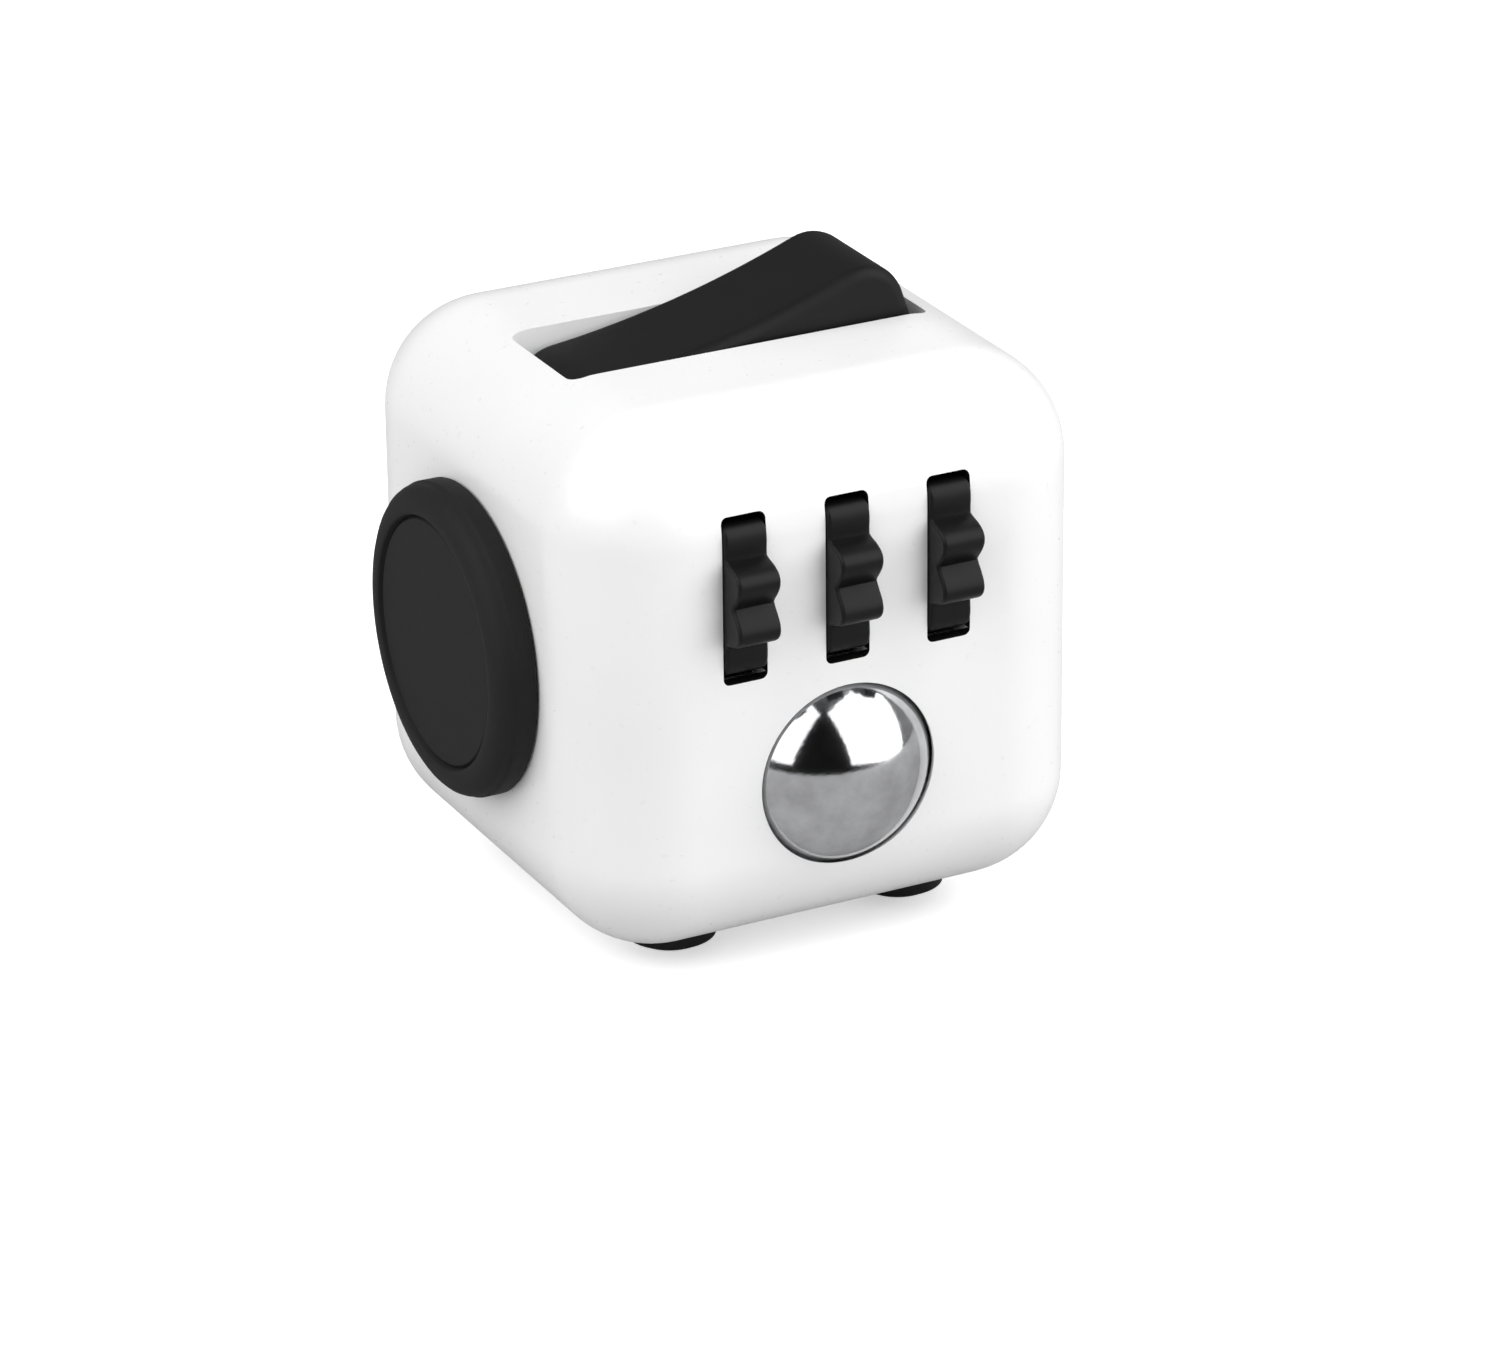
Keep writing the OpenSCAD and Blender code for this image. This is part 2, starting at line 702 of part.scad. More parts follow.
module button_plate() {
    color([0.25, 0.35, 0.25]) placed() difference() {
        block([-11.2, -11.2, plate_z], [11.2, 11.2, plate_z + plate_t]);
        // room for the ball and its cup
        translate([front_x, 0, 0]) block([-4.3, -12, plate_z - 1], [4.3, -4.2, plate_z + 2]);
        at_screws() rod_z(screw_r + 0.05, -3, 1);
    }
}

module carrier_screws() {
    color("silver") placed() at_screws() small_screw($clamped);
}

main_shell();
rear_cover();
flip_rocker();
flip_axle();
flip_frame();
flip_plunger();
flip_spring();
gear_bracket();
gear_axle();
gear_left();
gear_middle();
gear_right();
click_leaf();
ball();
ball_cup();
ball_housing();
ball_spring();
glide_cap();
glide_carriage();
glide_washer();
glide_base();
glide_spring();
glide_screw();
spin_dial();
spin_bush();
spin_washer();
spin_clip();
click_button_1();
click_button_2();
click_button_3();
click_button_4();
click_button_5();
click_spring_1();
click_spring_2();
click_spring_3();
click_spring_4();
click_spring_5();
click_dome_1();
click_dome_2();
click_dome_3();
button_plate();
carrier_screws();
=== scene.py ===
# %% [markdown]
# # A pocket fidget cube
# A hollow white cube of moulded ABS, 33 mm along an edge, with a different hand toy on each face: a flip
# rocker on top, three lobed gears and a rolling steel ball in front, a glide disc on the left, a spin dial
# on the right, five click buttons underneath and a thumb rest at the back. The engineering model gives
# every piece its place. This lesson gives the pieces that show their final shapes and finishes.

# %% Load the engineering model
import json
import math

import bmesh
import bpy
from mathutils import Matrix, Vector

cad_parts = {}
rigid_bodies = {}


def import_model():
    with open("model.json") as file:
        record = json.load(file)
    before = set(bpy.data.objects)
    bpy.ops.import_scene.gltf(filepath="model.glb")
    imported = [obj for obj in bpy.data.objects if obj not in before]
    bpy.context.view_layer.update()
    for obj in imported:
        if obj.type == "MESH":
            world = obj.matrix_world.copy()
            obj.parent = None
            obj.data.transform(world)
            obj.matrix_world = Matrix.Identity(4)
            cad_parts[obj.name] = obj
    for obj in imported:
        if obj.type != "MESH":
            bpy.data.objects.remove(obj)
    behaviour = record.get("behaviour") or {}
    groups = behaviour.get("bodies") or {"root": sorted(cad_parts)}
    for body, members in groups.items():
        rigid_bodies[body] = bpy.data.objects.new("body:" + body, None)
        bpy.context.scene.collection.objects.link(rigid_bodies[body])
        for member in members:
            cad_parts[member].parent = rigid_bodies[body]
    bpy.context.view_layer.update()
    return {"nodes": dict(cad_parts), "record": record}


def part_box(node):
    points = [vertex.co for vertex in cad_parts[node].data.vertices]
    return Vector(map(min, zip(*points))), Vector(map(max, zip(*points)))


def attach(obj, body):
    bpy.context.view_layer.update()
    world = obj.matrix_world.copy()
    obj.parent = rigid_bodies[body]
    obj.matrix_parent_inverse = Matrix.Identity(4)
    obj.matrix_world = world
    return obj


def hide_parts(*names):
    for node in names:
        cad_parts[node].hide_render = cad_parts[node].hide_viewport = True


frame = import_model()
print("nodes loaded:", len(frame["nodes"]))

# %% [markdown]
# Everything is modelled in millimetres around the middle of the cube, because the sizes of a small toy are
# easy to read that way. One matrix then puts each finished piece in its place, in metres. The middles and
# sizes of the toys are read from the engineering model, so the two can't drift apart.

# %% Where the toys sit
MM = 0.001
X, Y, Z = 0, 1, 2
shell_low, shell_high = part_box("main_shell")
HALF = (shell_high - shell_low).x / 2 / MM
CUBE_MIDDLE = (shell_low + shell_high) / 2
# The shell is open at the back, so its box ends short of the cube's own.
CUBE_MIDDLE.y = shell_low.y + HALF * MM
WALL = 2
CAVITY = HALF - WALL
INTO_PLACE = Matrix.Translation(CUBE_MIDDLE) @ Matrix.Scale(MM, 4)


def middle_of(node):
    """The middle of a node's box, in millimetres from the middle of the cube."""
    low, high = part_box(node)
    return ((low + high) / 2 - CUBE_MIDDLE) / MM


def reach_of(node):
    """The half size of a node's box along each axis, in millimetres."""
    low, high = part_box(node)
    return (high - low) / 2 / MM


ball_middle = middle_of("ball")
ball_r = reach_of("ball").z
gear_middles = {side: middle_of("gear_" + side) for side in ("left", "middle", "right")}
rocker_pin = middle_of("flip_axle")
print(f"cube half size {HALF:.2f} mm, ball radius {ball_r:.2f} mm")
print("ball's middle:", tuple(round(v, 2) for v in ball_middle))

# %% [markdown]
# ## Modelling helpers
# Most pieces start from one of three raw shapes: a bar with rounded corners, a round rod, or a profile
# that is turned as on a lathe. Holes are carved with a boolean, which works as a cutter does.


# %% Raw shapes
def bevel(bm, edges, size, segments):
    """Rounds edges with circular arcs."""
    bmesh.ops.bevel(bm, geom=edges, offset=size, offset_type="OFFSET", segments=segments, profile=0.5,
                    affect="EDGES", clamp_overlap=True, material=-1)


def bar(low, high, along=Z, corner=0.0, segments=6):
    """A bar between two corners. Its four edges along one axis can be rounded."""
    bm = bmesh.new()
    bmesh.ops.create_cube(bm, size=1)
    size = Vector(high) - Vector(low)
    bmesh.ops.scale(bm, vec=size, verts=bm.verts)
    bmesh.ops.translate(bm, vec=(Vector(high) + Vector(low)) / 2, verts=bm.verts)
    if corner:
        edges = [e for e in bm.edges if abs((e.verts[0].co - e.verts[1].co)[along]) > size[along] / 2]
        bevel(bm, edges, corner, segments)
    return bm


def rounded_block(half_size, radius, segments):
    """A cube with all its edges and corners rounded."""
    bm = bmesh.new()
    bmesh.ops.create_cube(bm, size=2 * half_size)
    bevel(bm, bm.edges[:], radius, segments)
    return bm


TURN_TO = {
    X: Matrix.Rotation(math.radians(90), 4, "Y"),
    Y: Matrix.Rotation(math.radians(-90), 4, "X"),
    Z: Matrix.Identity(4),
}


def rod(radius, start, end, along=Z, middle=(0, 0, 0), steps=64):
    """A round rod along one axis, between two places on it."""
    bm = bmesh.new()
    lift = Matrix.Translation((0, 0, (start + end) / 2))
    bmesh.ops.create_cone(bm, cap_ends=True, segments=steps, radius1=radius, radius2=radius,
                          depth=end - start, matrix=lift)
    bmesh.ops.transform(bm, matrix=Matrix.Translation(middle) @ TURN_TO[along], verts=bm.verts)
    return bm


def globe(radius, middle, steps=64):
    """A ball."""
    bm = bmesh.new()
    bmesh.ops.create_uvsphere(bm, u_segments=steps, v_segments=steps // 2, radius=radius,
                              matrix=Matrix.Translation(middle))
    return bm


def turned(profile, steps=128):
    """A piece turned on a lathe: (radius, height) points from one end of the axis to the other."""
    bm = bmesh.new()
    verts = [bm.verts.new((radius, 0, height)) for radius, height in profile]
    for a, b in zip(verts, verts[1:]):
        bm.edges.new((a, b))
    bmesh.ops.spin(bm, geom=bm.verts[:] + bm.edges[:], axis=(0, 0, 1), cent=(0, 0, 0),
                   angle=math.tau, steps=steps, use_merge=True, use_duplicate=False)
    bmesh.ops.remove_doubles(bm, verts=bm.verts, dist=1e-4)
    bmesh.ops.recalc_face_normals(bm, faces=bm.faces)
    return bm


# %% Carving and finishing
def as_object(bm, name):
    """Puts a mesh that is still being shaped into an object of the scene."""
    mesh = bpy.data.meshes.new(name)
    bm.to_mesh(mesh)
    obj = bpy.data.objects.new(name, mesh)
    bpy.context.scene.collection.objects.link(obj)
    return obj


def carve(bm, tool, how="DIFFERENCE"):
    """Cuts the tool out of a mesh, joins the two (UNION) or keeps what they share (INTERSECT)."""
    blank = as_object(bm, "blank")
    cutter = as_object(tool, "cutter")
    step = blank.modifiers.new("carve", "BOOLEAN")
    step.operation = how
    step.solver = "EXACT"
    step.object = cutter
    result = blank.evaluated_get(bpy.context.evaluated_depsgraph_get())
    bm.clear()
    bm.from_mesh(result.to_mesh())
    result.to_mesh_clear()
    for used in (blank, cutter):
        mesh = used.data
        bpy.data.objects.remove(used)
        bpy.data.meshes.remove(mesh)
    tool.free()
    return bm


def soften(bm, chosen, size, segments=3, sharper_than=40):
    """Rounds the sharp edges whose two ends both pass the test."""
    edges = [e for e in bm.edges if len(e.link_faces) == 2 and all(chosen(v.co) for v in e.verts)
             and e.calc_face_angle(0) > math.radians(sharper_than)]
    bevel(bm, edges, size, segments)
    return len(edges)


def finished(bm, name, material, body, stands_for, sharp=40):
    """Puts a piece in its place on its body, with smooth shading that stays crisp at sharp edges."""
    bmesh.ops.transform(bm, matrix=INTO_PLACE, verts=bm.verts)
    obj = as_object(bm, name)
    bm.free()
    for polygon in obj.data.polygons:
        polygon.use_smooth = True
    obj.data.set_sharp_from_angle(angle=math.radians(sharp))
    flats = obj.modifiers.new("flat faces stay flat", "WEIGHTED_NORMAL")
    flats.keep_sharp = True
    obj.data.materials.append(material)
    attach(obj, body)
    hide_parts(stands_for)
    print(f"{name}: {len(obj.data.polygons)} faces on body {body}")
    return obj


# %% [markdown]
# ## Finishes
# Each finish starts from the real material and how its surface was made. A pattern's scale comes from a
# real size: a noise of scale s has features about 1/s metres wide. One function adds any kind of node.


# %% Node and colour helpers
def linear(hex_colour):
    """An sRGB hex colour as the linear numbers that Blender works with."""
    parts = [int(hex_colour[i:i + 2], 16) / 255 for i in (1, 3, 5)]
    return tuple(p / 12.92 if p <= 0.04045 else ((p + 0.055) / 1.055) ** 2.4 for p in parts) + (1,)


def node(tree, kind, inputs, output, **settings):
    """Adds a node and returns one of its outputs. An input is a value or another node's output."""
    made = tree.nodes.new(kind)
    for key, value in settings.items():
        setattr(made, key, value)
    for key, value in inputs.items():
        if isinstance(value, bpy.types.NodeSocket):
            tree.links.new(value, made.inputs[key])
        else:
            made.inputs[key].default_value = value
    return made.outputs[output] if output else None


def blank_material(name):
    """A material with an empty node tree, and the object's own coordinates to hang patterns on."""
    material = bpy.data.materials.new(name)
    material.use_nodes = True
    material.node_tree.nodes.clear()
    return material, material.node_tree, node(material.node_tree, "ShaderNodeTexCoord", {}, "Object")


def per_mm(size):
    """The texture scale whose features are this many millimetres wide."""
    return 1 / (size * MM)


# The kinds of node that the finishes are built from, by short names.
NOISE, BUMP, BLEND, RANGE = "ShaderNodeTexNoise", "ShaderNodeBump", "ShaderNodeMix", "ShaderNodeMapRange"
SHADER, OUTPUT = "ShaderNodeBsdfPrincipled", "ShaderNodeOutputMaterial"
# A blend node has sockets for every kind of data, so the colour ones go by number.
AMOUNT, FIRST, SECOND, BLENDED = 0, 6, 7, 2
# A noise pattern hardly leaves the middle of its range, so this part of it is stretched over two colours.
MIDDLE = {"From Min": 0.3, "From Max": 0.7}

# %% [markdown]
# The cube is gloss white ABS from a polished mould. The eye sees a clean white with soft, wide highlights.
# The faint unevenness comes from the plastic shrinking over the ribs inside, a few millimetres across, and
# handling leaves hair-fine scuffs that only change the gloss.


# %% Gloss white ABS
def gloss_white_abs():
    material, tree, place = blank_material("gloss_white_abs")
    shrinkage = node(tree, NOISE, {"Vector": place, "Scale": per_mm(9), "Detail": 1.0}, "Fac")
    flow = node(tree, NOISE, {"Vector": place, "Scale": per_mm(14), "Detail": 2.0}, "Fac")
    scuffs = node(tree, NOISE, {"Vector": place, "Scale": per_mm(0.5), "Detail": 4.0, "Roughness": 0.7},
                  "Fac")
    waves = node(tree, BUMP, {"Height": shrinkage, "Strength": 0.12, "Distance": 0.05 * MM}, "Normal")
    amount = node(tree, RANGE, {"Value": flow, **MIDDLE}, "Result")
    white = node(tree, BLEND, {AMOUNT: amount, FIRST: linear("#f3f3f3"), SECOND: linear("#f7f7f7")},
                 BLENDED, data_type="RGBA")
    gloss = node(tree, RANGE, {"Value": scuffs, "To Min": 0.24, "To Max": 0.34}, "Result")
    shader = node(tree, SHADER, {"Base Color": white, "Roughness": gloss, "IOR": 1.53, "Normal": waves},
                  "BSDF")
    node(tree, OUTPUT, {"Surface": shader}, None)
    return material


WHITE_ABS = gloss_white_abs()
print("made", WHITE_ABS.name)

# %% [markdown]
# The black toys are the same family of plastic, but each came out of a different mould. The rocker and the
# discs have a fine spark-eroded texture that feels like soft rubber and looks satin. The gears and the
# buttons are smoother and catch soft highlights, crisper on the buttons. One function makes them all, with a
# grain size in millimetres, a gloss range and two close shades of black. A grain of 0.1 mm would be too
# fine to show, so it is drawn about twice as coarse. Black pigment takes up part of the shine, so the
# shader's specular level is under its usual half.


# %% Black plastics
def black_plastic(name, dark, light, gloss_low, gloss_high, grain, grain_height):
    material, tree, place = blank_material(name)
    grains = node(tree, NOISE, {"Vector": place, "Scale": per_mm(grain), "Detail": 2.0, "Roughness": 0.6},
                  "Fac")
    rubbed = node(tree, NOISE, {"Vector": place, "Scale": per_mm(3.5), "Detail": 3.0}, "Fac")
    eroded = node(tree, BUMP, {"Height": grains, "Strength": 1.0, "Distance": grain_height * MM}, "Normal")
    amount = node(tree, RANGE, {"Value": rubbed, **MIDDLE}, "Result")
    black = node(tree, BLEND, {AMOUNT: amount, FIRST: linear(dark), SECOND: linear(light)},
                 BLENDED, data_type="RGBA")
    gloss = node(tree, RANGE, {"Value": rubbed, "To Min": gloss_low, "To Max": gloss_high}, "Result")
    shader = node(tree, SHADER, {"Base Color": black, "Roughness": gloss, "IOR": 1.5,
                                 "Specular IOR Level": 0.22, "Normal": eroded}, "BSDF")
    node(tree, OUTPUT, {"Surface": shader}, None)
    return material


ROCKER_SATIN = black_plastic("satin_black_abs", "#0d0d0d", "#111111", 0.5, 0.62, 0.2, 0.004)
DISC_SATIN = black_plastic("soft_black_tpu", "#191919", "#1d1d1d", 0.62, 0.74, 0.22, 0.005)
GEAR_GLOSS = black_plastic("gloss_black_pom", "#080808", "#0b0b0b", 0.38, 0.5, 0.25, 0.002)
BUTTON_GLOSS = black_plastic("semi_gloss_black_abs", "#0d0d0d", "#111111", 0.3, 0.42, 0.25, 0.002)
# the carrier's black is also used as painted shade on the cube's slot walls
CARRIER_BLACK_AND_SLOT_SHADE = black_plastic("moulded_black_nylon_and_slot_shade", "#0e0e0e", "#131313", 0.45, 0.6, 0.3, 0.006)
print("made five black plastics")

# %% [markdown]
# The ball is a hardened bearing ball, ground and polished. It mirrors the room, and the only thing that
# tells it from a perfect mirror is a haze of finger marks and a few pits from handling.


# %% Polished bearing steel
def polished_bearing_steel():
    material, tree, place = blank_material("polished_bearing_steel")
    marks = node(tree, NOISE, {"Vector": place, "Scale": per_mm(2.2), "Detail": 4.0, "Roughness": 0.65},
                 "Fac")
    pits = node(tree, NOISE, {"Vector": place, "Scale": per_mm(0.35), "Detail": 3.0}, "Fac")
    dents = node(tree, BUMP, {"Height": pits, "Strength": 1.0, "Distance": 0.004 * MM}, "Normal")
    amount = node(tree, RANGE, {"Value": marks, **MIDDLE}, "Result")
    steel = node(tree, BLEND, {AMOUNT: amount, FIRST: linear("#b2b2b4"), SECOND: linear("#cecfd1")},
                 BLENDED, data_type="RGBA")
    haze = node(tree, RANGE, {"Value": marks, "To Min": 0.05, "To Max": 0.17}, "Result")
    shader = node(tree, SHADER, {"Base Color": steel, "Metallic": 1.0, "Roughness": haze, "Normal": dents},
                  "BSDF")
    node(tree, OUTPUT, {"Surface": shader}, None)
    return material


BALL_STEEL = polished_bearing_steel()
print("made", BALL_STEEL.name)

# %% [markdown]
# Inside, the pins, springs and screws are drawn steel wire, nickel plated: bright, with fine lines along
# the draw. The dial's bush is turned brass, and the button plate is green laminate with a woven core whose
# threads, about 0.5 mm apart, show through as faint squares.


# %% Metals and laminate of the inner works
def drawn_metal(name, dark, light, gloss_low, gloss_high):
    material, tree, place = blank_material(name)
    lines = node(tree, NOISE, {"Vector": place, "Scale": per_mm(0.3), "Detail": 3.0, "Distortion": 0.4},
                 "Fac")
    scored = node(tree, BUMP, {"Height": lines, "Strength": 0.4, "Distance": 0.003 * MM}, "Normal")
    amount = node(tree, RANGE, {"Value": lines, **MIDDLE}, "Result")
    metal = node(tree, BLEND, {AMOUNT: amount, FIRST: linear(dark), SECOND: linear(light)},
                 BLENDED, data_type="RGBA")
    gloss = node(tree, RANGE, {"Value": lines, "To Min": gloss_low, "To Max": gloss_high}, "Result")
    shader = node(tree, SHADER, {"Base Color": metal, "Metallic": 1.0, "Roughness": gloss, "Normal": scored},
                  "BSDF")
    node(tree, OUTPUT, {"Surface": shader}, None)
    return material


def woven_laminate():
    material, tree, place = blank_material("green_laminate")
    threads = node(tree, "ShaderNodeTexBrick",
                   {"Vector": place, "Scale": per_mm(1), "Mortar Size": 0.06, "Brick Width": 0.5,
                    "Row Height": 0.5}, "Fac", offset=0.0)
    amount = node(tree, RANGE, {"Value": threads, **MIDDLE}, "Result")
    green = node(tree, BLEND, {AMOUNT: amount, FIRST: linear("#1f4a30"), SECOND: linear("#2a5c3d")},
                 BLENDED, data_type="RGBA")
    gloss = node(tree, RANGE, {"Value": threads, "To Min": 0.35, "To Max": 0.5}, "Result")
    shader = node(tree, SHADER, {"Base Color": green, "Roughness": gloss, "IOR": 1.55}, "BSDF")
    node(tree, OUTPUT, {"Surface": shader}, None)
    return material


SPRING_STEEL = drawn_metal("nickel_plated_spring_steel", "#a9aaad", "#c4c5c8", 0.22, 0.34)
BUSH_BRASS = drawn_metal("turned_brass", "#b08d4a", "#c9a868", 0.25, 0.38)
PLATE_LAMINATE = woven_laminate()
INNER_FINISH = {"carrier_plastic": CARRIER_BLACK_AND_SLOT_SHADE, "plate_laminate": PLATE_LAMINATE,
                "bush_brass": BUSH_BRASS, "small_steel": SPRING_STEEL}
for part in frame["record"]["subparts"]:
    finish = INNER_FINISH.get(part["material_slot"])
    if finish:
        cad_mesh = frame["nodes"][part["node"]].data
        cad_mesh.materials.clear()
        cad_mesh.materials.append(finish)
print("gave the inner works", len(INNER_FINISH), "finishes")

# %% [markdown]
# ## The moulded cube
# The real shell is one moulding with an even wall. It starts as a rounded block, a smaller rounded block is
# hollowed out of it, and each toy's opening is carved. The mould leaves no knife edges, so every rim gets a
# fine rounding, which is what catches the light around each opening.

# %% Hollow block
EDGE_R = 6.6
CAVITY_R = 3
shell = rounded_block(HALF, EDGE_R, 16)
carve(shell, rounded_block(CAVITY, CAVITY_R, 8))
print("hollow block:", len(shell.faces), "faces")

# %% [markdown]
# A ledge inside the back carries the cover, with a drilled post in each corner for the cover's pegs, and
# three bosses carry the button plate. They are joined on before the openings are cut.

# %% Ledge, posts and bosses
LEDGE_HALF = 11.6
POST_PLACE = 10.6
POST_R, POST_BORE_R = 2.2, 0.9
BOSS_R = 1.5
BUTTON_PITCH = 7.6
PLATE_Z = -12.5
BITE = 0.2
ledge = rounded_block(CAVITY + BITE, CAVITY_R + BITE, 8)
carve(ledge, bar((-HALF, CAVITY - 1.3, -HALF), (HALF, CAVITY - 0.1, HALF)), "INTERSECT")
carve(ledge, bar((-LEDGE_HALF, 0, -LEDGE_HALF), (LEDGE_HALF, HALF, LEDGE_HALF)))
carve(shell, ledge, "UNION")
for side in (-1, 1):
    for level in (-1, 1):
        middle = (side * POST_PLACE, 0, level * POST_PLACE)
        carve(shell, rod(POST_R, CAVITY - 3, CAVITY - 0.15, Y, middle, 32), "UNION")
        carve(shell, rod(POST_BORE_R, CAVITY - 2.8, CAVITY + 0.3, Y, middle, 24))
for place in ((-1, 0), (1, 0), (0, 1)):
    middle = (place[0] * BUTTON_PITCH, place[1] * BUTTON_PITCH, 0)
    carve(shell, rod(BOSS_R, -CAVITY - BITE, PLATE_Z - 0.05, Z, middle, 32), "UNION")
print("ledge, posts and bosses joined:", len(shell.faces), "faces")

# %% [markdown]
# The openings: a long one on top for the rocker, three slots and a round hole in front, a round hole left
# for the glide disc's stem and right for the dial's bush, five holes below and a square one at the back.
# Behind the slots and the ball's hole the wall is scooped out to follow the gear and the ball.

# %% Openings for the toys
SLOT_HALF_W, SLOT_HALF_L = 1.4, 5.1
SLOT_CORNER = 0.4
GEAR_TIP_R = 5.5
BALL_HOLE_R = 5.6
ROCKER_OPEN_HALF_L, ROCKER_OPEN_HALF_W, ROCKER_OPEN_CORNER = 11.65, 4.25, 0.8
COVER_OPEN = 13.0
BUTTON_HOLE_R = 2.9
DISC_HOLE_R, BUSH_HOLE_R = 4.6, 3.2
OUTSIDE = HALF + 1
INSIDE = CAVITY - 1
LOOSE = 0.15
low = (-ROCKER_OPEN_HALF_L, -ROCKER_OPEN_HALF_W, INSIDE)
high = (ROCKER_OPEN_HALF_L, ROCKER_OPEN_HALF_W, OUTSIDE)
carve(shell, bar(low, high, Z, ROCKER_OPEN_CORNER))
for middle in gear_middles.values():
    low = (middle.x - SLOT_HALF_W, -OUTSIDE, middle.z - SLOT_HALF_L)
    high = (middle.x + SLOT_HALF_W, -INSIDE, middle.z + SLOT_HALF_L)
    carve(shell, bar(low, high, Y, SLOT_CORNER, 4))
    carve(shell, rod(GEAR_TIP_R + LOOSE, -SLOT_HALF_W + 0.01, SLOT_HALF_W - 0.01, X, middle, 96))
carve(shell, rod(BALL_HOLE_R, -OUTSIDE, -INSIDE, Y, (ball_middle.x, 0, ball_middle.z), 96))
carve(shell, globe(ball_r + LOOSE, ball_middle, 96))
carve(shell, rod(DISC_HOLE_R, -OUTSIDE, -INSIDE, X))
carve(shell, rod(BUSH_HOLE_R, INSIDE, OUTSIDE, X))
button_places = [(-1, -1), (1, -1), (0, 0), (-1, 1), (1, 1)]
for place in button_places:
    middle = (place[0] * BUTTON_PITCH, place[1] * BUTTON_PITCH, 0)
    carve(shell, rod(BUTTON_HOLE_R, -OUTSIDE, -INSIDE, Z, middle, 48))
carve(shell, bar((-COVER_OPEN, INSIDE, -COVER_OPEN), (COVER_OPEN, OUTSIDE, COVER_OPEN), Y, 2.5, 8))
print("openings cut:", len(shell.faces), "faces")

# %% Rounded rims
rims = 0
for axis in (X, Y, Z):
    for side in (-1, 1):
        rims += soften(shell, lambda p: abs(p[axis] - side * HALF) < 1e-3, 0.18)
at_back = CAVITY + 0.3
rims += soften(shell, lambda p: p.y > at_back and max(abs(p.x), abs(p.z)) < COVER_OPEN + 0.02, 0.12, 2)
print("rim edges rounded:", rims)

# %% [markdown]
# The walls of the three slots are painted with the carrier's black plastic. This is painted shade for the
# dark recess beside each gear, so no white shows beside a gear.

# %% Painted shade on the slots' walls
for face in shell.faces:
    spot = face.calc_center_median()
    in_painted_shade_wall = -HALF < spot.y < -CAVITY + 0.3 and abs(face.normal.y) < 0.7
    for middle in gear_middles.values():
        off = spot - middle
        if in_painted_shade_wall and abs(off.x) < SLOT_HALF_W + 0.02 and abs(off.z) < SLOT_HALF_L + 0.02:
            # painted shade: this slot wall face takes the black second material
            face.material_index = 1
cube_shell = finished(shell, "cube_shell", WHITE_ABS, "cube", "main_shell")
# the black second material is painted shade on the slot walls
cube_shell.data.materials.append(CARRIER_BLACK_AND_SLOT_SHADE)

# %% [markdown]
# ## Rear cover with the thumb rest
# The cover closes the cube's back and follows its rounding, so it is cut from the same rounded block. The
# thumb rest is a shallow dish. A large ball carves it, because a shallow part of a big sphere is just what a
# dished moulding is. The boss behind it keeps the wall even, and four pegs press into the shell's posts.

# %% Rear cover
COVER_HALF, COVER_CORNER = 12.92, 2.42
DISH_R, DISH_DEPTH = 8.5, 1.5
dish_ball_r = (DISH_R ** 2 + DISH_DEPTH ** 2) / (2 * DISH_DEPTH)
cover = rounded_block(HALF, EDGE_R, 16)
low, high = (-COVER_HALF, CAVITY, -COVER_HALF), (COVER_HALF, OUTSIDE, COVER_HALF)
carve(cover, bar(low, high, Y, COVER_CORNER, 8), "INTERSECT")
carve(cover, rod(DISH_R + 0.6, CAVITY - 1.2, CAVITY + 0.5, Y, steps=96), "UNION")
for side in (-1, 1):
    for level in (-1, 1):
        middle = (side * POST_PLACE, 0, level * POST_PLACE)
        carve(cover, rod(0.88, CAVITY - 2.5, CAVITY + 0.5, Y, middle, 24), "UNION")
carve(cover, globe(dish_ball_r, (0, HALF - DISH_DEPTH + dish_ball_r, 0), 256))
soften(cover, lambda p: abs(p.y - HALF) < 1e-3, 0.5, 3, sharper_than=10)
soften(cover, lambda p: p.y > CAVITY + 0.3 and abs(p.y - HALF) > 1e-3, 0.12, 2, sharper_than=50)
finished(cover, "thumb_rest_cover", WHITE_ABS, "cube", "rear_cover")

# %% [markdown]
# ## Flip rocker
# Seen from the front the rocker is a saddle: a shallow hollow between two rounded ends whose flanks lean
# outwards. Spinning a single point draws each arc of that outline. The outline is filled, pulled out to the
# rocker's width and its rims are rounded, because a finger rolls over them.


# %% Rocker outline
def arc(bm, middle, radius, start, end, steps):
    """Draws an arc in the XZ plane by spinning one point, and returns its points in order."""
    first = (middle[0] + radius * math.cos(start), 0, middle[1] + radius * math.sin(start))
    point = bm.verts.new(first)
    bmesh.ops.spin(bm, geom=[point], cent=(middle[0], 0, middle[1]), axis=(0, -1, 0), angle=end - start,
                   steps=steps, use_merge=False, use_duplicate=False)
    bm.verts.index_update()
    return [v for v in bm.verts if v.index >= point.index]


FLIP_TILT = math.radians(14)
HOLLOW_R = 65
MIDDLE_H = 4.92
FLIP_HALF = 10.95
FLIP_END_R = 2.7
LEAN = math.radians(5)
FLIP_HALF_W = 4
FOOT_H = 0.5

